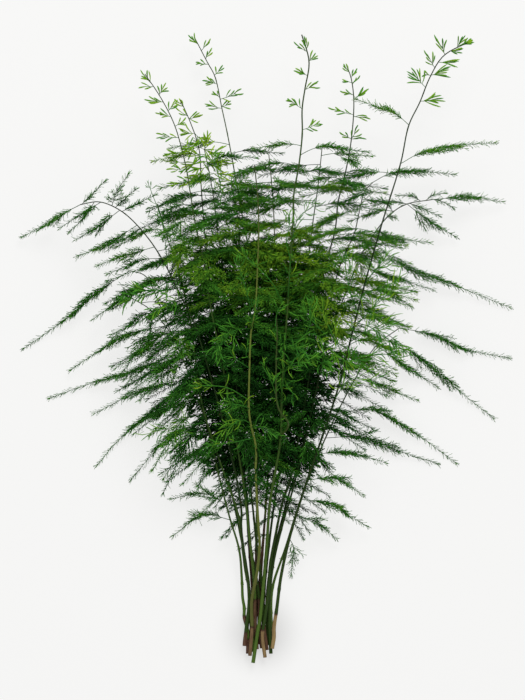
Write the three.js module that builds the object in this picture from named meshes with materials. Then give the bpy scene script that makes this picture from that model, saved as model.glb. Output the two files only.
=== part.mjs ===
// A loose bunch of cut ming fern stems (Asparagus setaceus), lying on a flat surface.
// Millimetres. +Y runs from the cut ends to the tips, +X is to the right, +Z is up, and z = 0 is the surface.
import * as THREE from 'three';
import { mergeVertices } from 'three/addons/utils/BufferGeometryUtils.js';

// Driving dimensions
const buttRadius = 1.7;
const tipRadius = 0.6;
const stemSides = 8;
const stemSteps = 32;
const layerGap = 1.3;

const sprayStalkHalf = 1.1;
const sprayTipHalf = 1.0;
const sprayHalfHeight = 17;
const sprayHalfThickness = 4.5;
const sprayNotch = 0.5;
const spraySides = 4;
const spraySteps = 15;
const sprayStandOff = 2.4;

// The middle line of a spray's tip that lies on the surface.
const onSurface = sprayTipHalf;

// Shares of a length, from the cut end of a stem or the stalk of a spray
const crestShare = 0.62;
const stalkShare = 0.12;
const widestShare = 0.4;

const stemGreen = 0x41622f;
const stemOlive = 0x6d7042;
const stemDark = 0x2c4722;
const foliageDark = 0x24502a;
const foliageYoung = 0x66942a;
const stemRoughness = 0.55;
const foliageRoughness = 0.6;

// The cut ends lie in three layers, one on the other.
const layerPitch = 2 * buttRadius + layerGap;
const buttHeight = {
  back: buttRadius,
  middle: buttRadius + layerPitch,
  front: buttRadius + 2 * layerPitch,
};

// Each stem: its layer, the heights of its crest and tip, its colour, and its route in plan, cut end first.
const stems = {
  stem_left_arch: { layer: 'front', crest: 84, tip: 50, colour: stemDark, route: [
    [-24, -331], [-22.5, -312], [-20.5, -296], [-19.5, -277], [-20, -260], [-24, -228], [-27, -196],
    [-26.5, -180], [-32, -144], [-39, -115], [-60, -33], [-80, 34], [-93, 59], [-112, 96], [-133, 127],
    [-160, 154], [-185, 165], [-206, 162]] },
  stem_left_shoot: { layer: 'middle', crest: 92, tip: 74, colour: stemGreen, route: [
    [-10, -335], [-12.5, -297], [-13, -266], [-15.5, -237], [-19, -206], [-25, -146], [-41, -55],
    [-60, 45], [-69, 100], [-77, 135], [-84, 180], [-88, 203], [-101, 248], [-118, 281], [-134, 305]] },
  stem_front: { layer: 'front', crest: 104, tip: 112, colour: stemOlive, route: [
    [-18, -342], [-15.5, -310], [-16, -294], [-15.5, -277], [-10.5, -250], [-7.5, -217], [-8.5, -199],
    [-11.5, -134], [-11, -107], [-18, -72], [-18, -21], [-16, 24], [-12, 45], [-9, 100], [-8, 129],
    [-9, 162], [-13, 203]] },
  stem_centre_shoot: { layer: 'front', crest: 88, tip: 80, colour: stemGreen, route: [
    [-14.5, -350], [-9, -315], [-6, -300], [-4, -279], [-1.5, -244], [1.5, -204], [4.5, -170],
    [15.5, -99], [17, -55], [24, 56], [30, 144], [30, 171], [36, 206], [40, 239], [40, 266], [43, 289],
    [47, 318], [39, 348]] },
  stem_right_shoot: { layer: 'front', crest: 98, tip: 78, colour: stemDark, route: [
    [7, -334], [9, -321], [9, -311], [12, -290], [16.5, -254], [26, -210], [45.5, -145], [64, -90],
    [81, -36], [94, 16], [103, 53], [112, 87], [127, 139], [148, 206], [157, 248], [169, 273], [181, 302],
    [196, 325], [228, 342]] },
  stem_left_outer: { layer: 'middle', crest: 52, tip: 42, colour: stemGreen, route: [
    [-20.5, -340], [-20.5, -316], [-24.5, -298], [-24.5, -289], [-26.5, -277], [-27.5, -257],
    [-30.5, -223], [-41, -185], [-51, -144], [-65, -83], [-74, -58], [-91, -13], [-109, 28], [-122, 60],
    [-134, 83], [-151, 89]] },
  stem_left_inner: { layer: 'middle', crest: 60, tip: 66, colour: stemGreen, route: [
    [-14.5, -338], [-17.5, -295], [-19, -268], [-23.5, -244], [-26.5, -219], [-30.5, -185], [-44, -143],
    [-54, -114], [-72, -55], [-84, 34], [-97, 90], [-110, 127], [-120, 162]] },
  stem_left_second: { layer: 'middle', crest: 56, tip: 60, colour: stemDark, route: [
    [-5, -334], [-8, -297], [-8, -281], [-12, -248], [-16, -226], [-24, -144], [-42, -55], [-59, 56],
    [-68, 130], [-72, 181], [-74, 223], [-83, 251], [-95, 278]] },
  stem_left_third: { layer: 'middle', crest: 64, tip: 72, colour: stemDark, route: [
    [1, -336], [-3, -304], [-4, -273], [-9.5, -224], [-18, -144], [-31, -55], [-42, 56], [-54, 136],
    [-58, 167], [-63, 197], [-68, 223]] },
  stem_right_second: { layer: 'front', crest: 62, tip: 58, colour: stemDark, route: [
    [-1, -344], [-4, -319], [-1, -298], [2, -273], [4.5, -239], [10.5, -206], [18.5, -169], [27, -144],
    [47, -33], [61, 73], [70, 108], [77, 135], [80, 164], [88, 197], [94, 231], [97, 276], [94, 302],
    [89, 316]] },
  stem_right_third: { layer: 'middle', crest: 54, tip: 62, colour: stemDark, route: [
    [5.5, -340], [4, -307], [4.5, -275], [9, -235], [18.5, -193], [32.5, -144], [58, -33], [77, 78],
    [88, 108], [98, 130], [103, 152], [109, 176], [118, 186]] },
  stem_back_left: { layer: 'back', crest: 24, tip: 9, colour: stemGreen, route: [
    [-23, -328], [-19.5, -294], [-19, -277], [-23, -235], [-28, -210], [-42, -144], [-68, -55], [-98, 6],
    [-129, 45], [-157, 62]] },
  stem_back_inner: { layer: 'back', crest: 30, tip: 42, colour: stemDark, route: [
    [-17.5, -329], [-15, -277], [-18, -227], [-24, -144], [-29, -55], [-28, 56], [-29, 126], [-32, 152],
    [-39, 183]] },
  stem_tall_shoot: { layer: 'back', crest: 36, tip: 32, colour: stemGreen, route: [
    [-13, -331], [-11, -277], [-11, -233], [-10, -144], [-13, -55], [-18, 34], [-19, 105], [-27, 153],
    [-37, 209], [-43, 241], [-49, 269], [-57, 306], [-65, 321], [-80, 350]] },
  stem_back_centre: { layer: 'back', crest: 27, tip: 46, colour: stemOlive, route: [
    [-8, -330], [-7, -277], [-5, -238], [2, -144], [11, -56], [11, 33], [10, 112], [8, 167], [3, 217]] },
  stem_back_right: { layer: 'back', crest: 31, tip: 44, colour: stemDark, route: [
    [-3, -331], [-2.5, -277], [2, -227], [14, -144], [32, -55], [43, 56], [51, 134], [58, 189], [62, 225]] },
  stem_right_arch: { layer: 'back', crest: 38, tip: 42, colour: stemDark, route: [
    [2, -331], [1.5, -277], [6.5, -239], [24, -166], [40, -110], [65, 1], [89, 65], [104, 103],
    [125, 137], [141, 154], [157, 163], [186, 168]] },
  stem_right_low: { layer: 'back', crest: 27, tip: 14, colour: stemGreen, route: [
    [8, -329], [5.5, -294], [7.5, -265], [21, -223], [39, -166], [71, -88], [99, -33], [124, 6], [149, 25]] },
};

// Each spray: the stem that bears it, where it leaves that stem in plan, and the points it passes, tip last.
const sprays = {
  spray_right_01: { stem: 'stem_right_shoot', from: [157, 248],
    points: [[141, 261, 92], [124, 267, 88], [101, 276, 80]] },
  spray_right_02: { stem: 'stem_right_shoot', from: [148, 206],
    points: [[169, 217, 88], [199, 225, 78], [253, 230, 58]] },
  spray_right_03: { stem: 'stem_right_third', from: [118, 186],
    points: [[135, 195, 60], [165, 199, 54], [208, 196, 40]] },
  spray_right_04: { stem: 'stem_right_arch', from: [186, 168],
    points: [[221, 171, 32], [263, 167, 14]] },
  spray_right_05: { stem: 'stem_right_arch', from: [157, 163],
    points: [[182, 144, 30], [212, 128, 12]] },
  spray_right_06: { stem: 'stem_right_third', from: [98, 130],
    points: [[121, 125, 62], [149, 123, 58], [180, 120, 46]] },
  spray_right_07: { stem: 'stem_right_arch', from: [115, 123],
    points: [[149, 98, 28], [204, 76, 16], [272, 49, 4]] },
  spray_right_08: { stem: 'stem_right_arch', from: [100, 95],
    points: [[132, 85, 44], [159, 76, 36], [185, 68, 26]] },
  spray_right_09: { stem: 'stem_right_shoot', from: [105, 62],
    points: [[121, 67, 98], [140, 60, 90], [159, 49, 76]] },
  spray_right_10: { stem: 'stem_right_low', from: [149, 25],
    points: [[182, 19, 12], [226, 1, 7], [271, -8, onSurface]] },
  spray_right_11: { stem: 'stem_right_low', from: [138, 16],
    points: [[176, -11, 16], [215, -44, 10], [254, -75, onSurface]] },
  spray_right_12: { stem: 'stem_right_low', from: [124, 6],
    points: [[150, -14, 16], [171, -27, 10], [191, -40, onSurface]] },
  spray_right_13: { stem: 'stem_right_low', from: [101, -29],
    points: [[124, -37, 20], [149, -48, 12], [168, -55, 4]] },
  spray_right_14: { stem: 'stem_right_low', from: [80, -72],
    points: [[115, -66, 20], [160, -88, 11], [212, -125, onSurface]] },
  spray_right_15: { stem: 'stem_right_low', from: [65, -97],
    points: [[104, -97, 18], [149, -113, 10], [192, -127, onSurface]] },
  spray_right_16: { stem: 'stem_right_shoot', from: [56, -116],
    points: [[88, -112, 72], [131, -124, 52]] },
  spray_right_17: { stem: 'stem_right_shoot', from: [46, -144],
    points: [[77, -142, 58], [107, -160, 40]] },
  spray_right_18: { stem: 'stem_right_shoot', from: [38, -166],
    points: [[71, -170, 44], [88, -181, 34], [112, -196, 20]] },
  spray_right_19: { stem: 'stem_right_shoot', from: [32, -184],
    points: [[54, -190, 34], [78, -210, 18]] },
  spray_right_20: { stem: 'stem_right_shoot', from: [26, -210],
    points: [[31, -219, 27], [30.5, -233, 18], [28.5, -250, 8]] },
  spray_left_01: { stem: 'stem_left_arch', from: [-206, 162],
    points: [[-222, 154, 44], [-240, 143, 34], [-272, 128, 14]] },
  spray_left_02: { stem: 'stem_left_arch', from: [-171, 159],
    points: [[-164, 176, 78], [-152, 193, 88]] },
  spray_left_03: { stem: 'stem_left_arch', from: [-183, 164],
    points: [[-204, 151, 68], [-226, 137, 62]] },
  spray_left_04: { stem: 'stem_left_arch', from: [-162, 155],
    points: [[-184, 139, 60], [-210, 124, 46]] },
  spray_left_05: { stem: 'stem_left_arch', from: [-143, 138],
    points: [[-172, 120, 62], [-209, 105, 40]] },
  spray_left_06: { stem: 'stem_left_arch', from: [-124, 114],
    points: [[-152, 106, 72], [-185, 95, 56]] },
  spray_left_07: { stem: 'stem_left_outer', from: [-151, 89],
    points: [[-184, 68, 30], [-229, 32, 14], [-271, 3, onSurface]] },
  spray_left_08: { stem: 'stem_left_outer', from: [-132, 78],
    points: [[-160, 58, 46], [-191, 36, 38]] },
  spray_left_09: { stem: 'stem_left_outer', from: [-109, 28],
    points: [[-151, 19, 44], [-184, 1, 30], [-218, -21, 12]] },
  spray_left_10: { stem: 'stem_left_outer', from: [-95, -2],
    points: [[-140, -20, 28], [-190, -35, 12], [-242, -53, onSurface]] },
  spray_left_11: { stem: 'stem_left_outer', from: [-84, -31],
    points: [[-140, -45, 24], [-191, -70, 6]] },
  spray_left_12: { stem: 'stem_left_outer', from: [-77, -53],
    points: [[-129, -72, 24], [-164, -99, 10], [-189, -128, onSurface]] },
  spray_left_13: { stem: 'stem_left_outer', from: [-68, -77],
    points: [[-112, -101, 24], [-151, -144, onSurface]] },
  spray_left_14: { stem: 'stem_left_outer', from: [-59, -110],
    points: [[-84, -118, 26], [-103, -138, 10]] },
  spray_left_15: { stem: 'stem_left_outer', from: [-44, -171],
    points: [[-68, -160, 22], [-105, -166, 6]] },
  spray_left_16: { stem: 'stem_left_outer', from: [-39, -188],
    points: [[-70, -184, 14], [-103, -207, onSurface]] },
  spray_upper_01: { stem: 'stem_front', from: [-16, 24],
    points: [[-34, 22, 140], [-52, 4, 182]] },
  spray_upper_02: { stem: 'stem_centre_shoot', from: [20, 0],
    points: [[36, -4, 136], [62, -14, 176]] },
  spray_upper_03: { stem: 'stem_front', from: [-11, -107],
    points: [[-8, -122, 110], [-18, -150, 142]] },
  spray_upper_04: { stem: 'stem_right_shoot', from: [98, 30],
    points: [[116, 24, 136], [146, 2, 164]] },
  spray_under_01: { stem: 'stem_back_inner', from: [-29, 126],
    points: [[-56, 138, 16], [-98, 152, onSurface]] },
  spray_under_02: { stem: 'stem_back_right', from: [51, 134],
    points: [[72, 148, 16], [100, 158, onSurface]] },
};

const ease = (share) => share * share * (3 - 2 * share);
const { lerp } = THREE.MathUtils;

// A stem rises from its layer at the cut end to its crest, then leans to the height of its tip.
function heightAlong(stem, share) {
  if (share < crestShare) return lerp(buttHeight[stem.layer], stem.crest, ease(share / crestShare));
  return lerp(stem.crest, stem.tip, ease((share - crestShare) / (1 - crestShare)));
}

// How far along the route in plan each of its points lies, from 0 to 1.
function sharesAlong(route) {
  const reached = [0];
  for (let i = 1; i < route.length; i += 1) {
    reached.push(reached[i - 1] + Math.hypot(route[i][0] - route[i - 1][0], route[i][1] - route[i - 1][1]));
  }
  return reached.map((length) => length / reached.at(-1));
}

function stemCurve(stem) {
  const shares = sharesAlong(stem.route);
  const points = stem.route.map(([x, y], i) => new THREE.Vector3(x, y, heightAlong(stem, shares[i])));
  return new THREE.CatmullRomCurve3(points, false, 'centripetal');
}

const stemRadius = (share) => lerp(buttRadius, tipRadius, share);

// The height and radius of a stem beside a point in plan.
function besideStem(curve, [x, y]) {
  const samples = 400;
  let nearest = { distance: Infinity };
  for (let i = 0; i <= samples; i += 1) {
    const share = i / samples;
    const place = curve.getPointAt(share);
    const distance = Math.hypot(place.x - x, place.y - y);
    if (distance < nearest.distance) nearest = { distance, place, radius: stemRadius(share) };
  }
  return nearest;
}

// The spray's middle line starts just clear of the bark.
function sprayCurve(spray) {
  const { place, radius } = besideStem(curves[spray.stem], spray.from);
  const points = spray.points.map((point) => new THREE.Vector3(...point));
  const away = points[0].clone().sub(place).normalize();
  const start = place.clone().addScaledVector(away, radius + sprayStandOff);
  return new THREE.CatmullRomCurve3([start, ...points], false, 'centripetal');
}

// Half the height of a spray: a thin stalk, widest before the middle and thin at the tip. Every second
// section is notched, as between side branchlets, and none reaches below the surface.
function sprayHalfHeightAt(share, height) {
  const widening = ease(Math.max(share - stalkShare, 0) / (widestShare - stalkShare));
  const half = share < widestShare
    ? lerp(sprayStalkHalf, sprayHalfHeight, widening)
    : lerp(sprayHalfHeight, sprayTipHalf, (share - widestShare) / (1 - widestShare));
  const notched = Math.round(share * spraySteps) % 2 === 0;
  const reach = notched ? Math.max(half * sprayNotch, sprayTipHalf) : half;
  return Math.min(reach, height);
}

function sprayHalfThicknessAt(share) {
  if (share < widestShare) return lerp(sprayStalkHalf, sprayHalfThickness, ease(share / widestShare));
  return lerp(sprayHalfThickness, sprayTipHalf, (share - widestShare) / (1 - widestShare));
}

// A regular outline with a corner straight up, or with a flat side there.
function roundSection(sides, flatOnTop) {
  const corners = [];
  for (let i = 0; i < sides; i += 1) {
    const turn = ((i + (flatOnTop ? 0.5 : 0)) / sides) * 2 * Math.PI;
    corners.push(new THREE.Vector2(Math.cos(turn), Math.sin(turn)));
  }
  return new THREE.Shape(corners);
}

// A section along a curve. Its first direction stays as upright as it can, and sizeAt gives both half sizes.
function bodyAlong(curve, section, steps, sizeAt) {
  const geometry = new THREE.ExtrudeGeometry(section, { steps, depth: 1, bevelEnabled: false });
  const position = geometry.getAttribute('position');
  const vertical = new THREE.Vector3(0, 0, 1);
  for (let i = 0; i < position.count; i += 1) {
    const share = Math.round(position.getZ(i) * steps) / steps;
    const place = curve.getPointAt(share);
    const along = curve.getTangentAt(share);
    const up = vertical.clone().addScaledVector(along, -along.z).normalize();
    const side = along.clone().cross(up);
    const [halfUp, halfSide] = sizeAt(share, place.z);
    place.addScaledVector(up, position.getX(i) * halfUp);
    place.addScaledVector(side, position.getY(i) * halfSide);
    position.setXYZ(i, place.x, place.y, place.z);
  }
  geometry.deleteAttribute('normal');
  geometry.deleteAttribute('uv');
  const closed = mergeVertices(geometry);
  closed.computeVertexNormals();
  return closed;
}

function namedMesh(name, geometry, colour, roughness) {
  const material = new THREE.MeshStandardMaterial({ color: colour, roughness, metalness: 0 });
  const mesh = new THREE.Mesh(geometry, material);
  mesh.name = name;
  return mesh;
}

const curves = {};
const bunch = new THREE.Group();

const stemOutline = roundSection(stemSides, true);
for (const [name, stem] of Object.entries(stems)) {
  curves[name] = stemCurve(stem);
  const body = bodyAlong(curves[name], stemOutline, stemSteps, (share) => {
    const cornerRadius = stemRadius(share) / Math.cos(Math.PI / stemSides);
    return [cornerRadius, cornerRadius];
  });
  bunch.add(namedMesh(name, body, stem.colour, stemRoughness));
}

const sprayOutline = roundSection(spraySides, false);
for (const [name, spray] of Object.entries(sprays)) {
  const body = bodyAlong(sprayCurve(spray), sprayOutline, spraySteps, (share, height) => (
    [sprayHalfHeightAt(share, height), sprayHalfThicknessAt(share)]
  ));
  const colour = name.startsWith('spray_upper') ? foliageYoung : foliageDark;
  bunch.add(namedMesh(name, body, colour, foliageRoughness));
}

export default bunch;
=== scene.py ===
# The looks of a loose bunch of cut ming fern stems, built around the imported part.
# Lists are in millimetres of the row frame: +Y runs from the cut ends to the tips, +X is to the right,
# +Z is up, and z = 0 is the surface. Meshes are made in millimetres and stored in metres.
import math
from collections import namedtuple

import bpy
import numpy as np
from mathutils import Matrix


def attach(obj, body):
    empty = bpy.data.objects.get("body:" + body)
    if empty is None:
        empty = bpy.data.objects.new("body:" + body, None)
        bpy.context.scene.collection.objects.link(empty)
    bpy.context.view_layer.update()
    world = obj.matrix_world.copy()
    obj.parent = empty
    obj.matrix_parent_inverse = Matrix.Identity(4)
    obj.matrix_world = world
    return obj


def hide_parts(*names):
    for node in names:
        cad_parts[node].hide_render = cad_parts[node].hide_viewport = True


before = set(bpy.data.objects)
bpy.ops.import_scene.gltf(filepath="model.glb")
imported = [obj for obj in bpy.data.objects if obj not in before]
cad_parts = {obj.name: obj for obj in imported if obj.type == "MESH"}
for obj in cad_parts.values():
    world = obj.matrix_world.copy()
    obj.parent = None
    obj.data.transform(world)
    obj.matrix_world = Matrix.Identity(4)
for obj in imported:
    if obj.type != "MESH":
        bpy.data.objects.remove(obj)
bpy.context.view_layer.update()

MM = 0.001

# The photograph: its height in pixels, the point of the row frame at its middle, and its scale where it is
# sharpest, at mid height of the bunch
PHOTO_HIGH = 700
PHOTO_MIDDLE = (-3.9, 0.6)
MM_PER_PIXEL = 1.11
SHARP_HEIGHT = 50

CAMERA_HEIGHT = 4000
SENSOR = 36

# Stems and sprays, as in the part
BUTT_RADIUS = 1.7
LAYER_GAP = 1.3
LAYER_PITCH = 2 * BUTT_RADIUS + LAYER_GAP
BUTT_HEIGHT = {
    "back": BUTT_RADIUS,
    "middle": BUTT_RADIUS + LAYER_PITCH,
    "front": BUTT_RADIUS + 2 * LAYER_PITCH,
}
CREST_SHARE = 0.62
ON_SURFACE = 1.0

# Each stem: its layer, the heights of its crest and its tip, its colour, from where to where along Y it bears
# its mature inner sprays, and its route in plan from the cut end
STEMS = {
    "left_arch": ("front", 84, 50, "dark", (-80, 120), [
        [-24, -331], [-22.5, -312], [-20.5, -296], [-19.5, -277], [-20, -260], [-24, -228], [-27, -196],
        [-26.5, -180], [-32, -144], [-39, -115], [-60, -33], [-80, 34], [-93, 59], [-112, 96],
        [-133, 127], [-160, 154], [-185, 165], [-206, 162]]),
    "left_shoot": ("middle", 92, 74, "green", (-170, 180), [
        [-10, -335], [-12.5, -297], [-13, -266], [-15.5, -237], [-19, -206], [-25, -146], [-41, -55],
        [-60, 45], [-69, 100], [-77, 135], [-84, 180], [-88, 203], [-101, 248], [-118, 281], [-134, 305]]),
    "front": ("front", 104, 112, "olive", (-120, 196), [
        [-18, -342], [-15.5, -310], [-16, -294], [-15.5, -277], [-10.5, -250], [-7.5, -217], [-8.5, -199],
        [-11.5, -134], [-11, -107], [-18, -72], [-18, -21], [-16, 24], [-12, 45], [-9, 100], [-8, 129],
        [-9, 162], [-13, 203]]),
    "centre_shoot": ("front", 88, 80, "green", (-150, 230), [
        [-14.5, -350], [-9, -315], [-6, -300], [-4, -279], [-1.5, -244], [1.5, -204], [4.5, -170],
        [15.5, -99], [17, -55], [24, 56], [30, 144], [30, 171], [36, 206], [40, 239], [40, 266],
        [43, 289], [47, 318], [39, 348]]),
    "right_shoot": ("front", 98, 78, "dark", (-150, 200), [
        [7, -334], [9, -321], [9, -311], [12, -290], [16.5, -254], [26, -210], [45.5, -145], [64, -90],
        [81, -36], [94, 16], [103, 53], [112, 87], [127, 139], [148, 206], [157, 248], [169, 273],
        [181, 302], [196, 325], [228, 342]]),
    "left_outer": ("middle", 52, 42, "green", (-170, 84), [
        [-20.5, -340], [-20.5, -316], [-24.5, -298], [-24.5, -289], [-26.5, -277], [-27.5, -257],
        [-30.5, -223], [-41, -185], [-51, -144], [-65, -83], [-74, -58], [-91, -13], [-109, 28],
        [-122, 60], [-134, 83], [-151, 89]]),
    "left_inner": ("middle", 60, 66, "green", (-170, 158), [
        [-14.5, -338], [-17.5, -295], [-19, -268], [-23.5, -244], [-26.5, -219], [-30.5, -185],
        [-44, -143], [-54, -114], [-72, -55], [-84, 34], [-97, 90], [-110, 127], [-120, 162]]),
    "left_second": ("middle", 56, 60, "dark", (-190, 176), [
        [-5, -334], [-8, -297], [-8, -281], [-12, -248], [-16, -226], [-24, -144], [-42, -55], [-59, 56],
        [-68, 130], [-72, 181], [-74, 223], [-83, 251], [-95, 278]]),
    "left_third": ("middle", 64, 72, "dark", (-200, 216), [
        [1, -336], [-3, -304], [-4, -273], [-9.5, -224], [-18, -144], [-31, -55], [-42, 56], [-54, 136],
        [-58, 167], [-63, 197], [-68, 223]]),
    "right_second": ("front", 62, 58, "dark", (-190, 214), [
        [-1, -344], [-4, -319], [-1, -298], [2, -273], [4.5, -239], [10.5, -206], [18.5, -169],
        [27, -144], [47, -33], [61, 73], [70, 108], [77, 135], [80, 164], [88, 197], [94, 231], [97, 276],
        [94, 302], [89, 316]]),
    "right_third": ("middle", 54, 62, "dark", (-200, 180), [
        [5.5, -340], [4, -307], [4.5, -275], [9, -235], [18.5, -193], [32.5, -144], [58, -33], [77, 78],
        [88, 108], [98, 130], [103, 152], [109, 176], [118, 186]]),
    "back_left": ("back", 24, 9, "green", (-160, 60), [
        [-23, -328], [-19.5, -294], [-19, -277], [-23, -235], [-28, -210], [-42, -144], [-68, -55],
        [-98, 6], [-129, 45], [-157, 62]]),
    "back_inner": ("back", 30, 42, "dark", (-200, 178), [
        [-17.5, -329], [-15, -277], [-18, -227], [-24, -144], [-29, -55], [-28, 56], [-29, 126],
        [-32, 152], [-39, 183]]),
    "tall_shoot": ("back", 36, 32, "green", (-190, 232), [
        [-13, -331], [-11, -277], [-11, -233], [-10, -144], [-13, -55], [-18, 34], [-19, 105], [-27, 153],
        [-37, 209], [-43, 241], [-49, 269], [-57, 306], [-65, 321], [-80, 350]]),
    "back_centre": ("back", 27, 46, "olive", (-210, 212), [
        [-8, -330], [-7, -277], [-5, -238], [2, -144], [11, -56], [11, 33], [10, 112], [8, 167], [3, 217]]),
    "back_right": ("back", 31, 44, "dark", (-210, 220), [
        [-3, -331], [-2.5, -277], [2, -227], [14, -144], [32, -55], [43, 56], [51, 134], [58, 189],
        [62, 225]]),
    "right_arch": ("back", 38, 42, "dark", (-190, 160), [
        [2, -331], [1.5, -277], [6.5, -239], [24, -166], [40, -110], [65, 1], [89, 65], [104, 103],
        [125, 137], [141, 154], [157, 163], [186, 168]]),
    "right_low": ("back", 27, 14, "green", (-200, 20), [
        [8, -329], [5.5, -294], [7.5, -265], [21, -223], [39, -166], [71, -88], [99, -33], [124, 6],
        [149, 25]]),
}

# The sprays, by side and in the order of their numbers: the stem that bears each, where it leaves that stem
# in plan, and the points it passes, tip last
SPRAYS = {
    "right": [
        ("right_shoot", [157, 248], [[141, 261, 92], [124, 267, 88], [101, 276, 80]]),
        ("right_shoot", [148, 206], [[169, 217, 88], [199, 225, 78], [253, 230, 58]]),
        ("right_third", [118, 186], [[135, 195, 60], [165, 199, 54], [208, 196, 40]]),
        ("right_arch", [186, 168], [[221, 171, 32], [263, 167, 14]]),
        ("right_arch", [157, 163], [[182, 144, 30], [212, 128, 12]]),
        ("right_third", [98, 130], [[121, 125, 62], [149, 123, 58], [180, 120, 46]]),
        ("right_arch", [115, 123], [[149, 98, 28], [204, 76, 16], [272, 49, 4]]),
        ("right_arch", [100, 95], [[132, 85, 44], [159, 76, 36], [185, 68, 26]]),
        ("right_shoot", [105, 62], [[121, 67, 98], [140, 60, 90], [159, 49, 76]]),
        ("right_low", [149, 25], [[182, 19, 12], [226, 1, 7], [271, -8, ON_SURFACE]]),
        ("right_low", [138, 16], [[176, -11, 16], [215, -44, 10], [254, -75, ON_SURFACE]]),
        ("right_low", [124, 6], [[150, -14, 16], [171, -27, 10], [191, -40, ON_SURFACE]]),
        ("right_low", [101, -29], [[124, -37, 20], [149, -48, 12], [168, -55, 4]]),
        ("right_low", [80, -72], [[115, -66, 20], [160, -88, 11], [212, -125, ON_SURFACE]]),
        ("right_low", [65, -97], [[104, -97, 18], [149, -113, 10], [192, -127, ON_SURFACE]]),
        ("right_shoot", [56, -116], [[88, -112, 72], [131, -124, 52]]),
        ("right_shoot", [46, -144], [[77, -142, 58], [107, -160, 40]]),
        ("right_shoot", [38, -166], [[71, -170, 44], [88, -181, 34], [112, -196, 20]]),
        ("right_shoot", [32, -184], [[54, -190, 34], [78, -210, 18]]),
        ("right_shoot", [26, -210], [[31, -219, 27], [30.5, -233, 18], [28.5, -250, 8]]),
    ],
    "left": [
        ("left_arch", [-206, 162], [[-222, 154, 44], [-240, 143, 34], [-272, 128, 14]]),
        ("left_arch", [-171, 159], [[-164, 176, 78], [-152, 193, 88]]),
        ("left_arch", [-183, 164], [[-204, 151, 68], [-226, 137, 62]]),
        ("left_arch", [-162, 155], [[-184, 139, 60], [-210, 124, 46]]),
        ("left_arch", [-143, 138], [[-172, 120, 62], [-209, 105, 40]]),
        ("left_arch", [-124, 114], [[-152, 106, 72], [-185, 95, 56]]),
        ("left_outer", [-151, 89], [[-184, 68, 30], [-229, 32, 14], [-271, 3, ON_SURFACE]]),
        ("left_outer", [-132, 78], [[-160, 58, 46], [-191, 36, 38]]),
        ("left_outer", [-109, 28], [[-151, 19, 44], [-184, 1, 30], [-218, -21, 12]]),
        ("left_outer", [-95, -2], [[-140, -20, 28], [-190, -35, 12], [-242, -53, ON_SURFACE]]),
        ("left_outer", [-84, -31], [[-140, -45, 24], [-191, -70, 6]]),
        ("left_outer", [-77, -53], [[-129, -72, 24], [-164, -99, 10], [-189, -128, ON_SURFACE]]),
        ("left_outer", [-68, -77], [[-112, -101, 24], [-151, -144, ON_SURFACE]]),
        ("left_outer", [-59, -110], [[-84, -118, 26], [-103, -138, 10]]),
        ("left_outer", [-44, -171], [[-68, -160, 22], [-105, -166, 6]]),
        ("left_outer", [-39, -188], [[-70, -184, 14], [-103, -207, ON_SURFACE]]),
    ],
    "upper": [
        ("front", [-16, 24], [[-34, 22, 140], [-52, 4, 182]]),
        ("centre_shoot", [20, 0], [[36, -4, 136], [62, -14, 176]]),
        ("front", [-11, -107], [[-8, -122, 110], [-18, -150, 142]]),
        ("right_shoot", [98, 30], [[116, 24, 136], [146, 2, 164]]),
    ],
    "under": [
        ("back_inner", [-29, 126], [[-56, 138, 16], [-98, 152, ON_SURFACE]]),
        ("back_right", [51, 134], [[72, 148, 16], [100, 158, ON_SURFACE]]),
    ],
}

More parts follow.
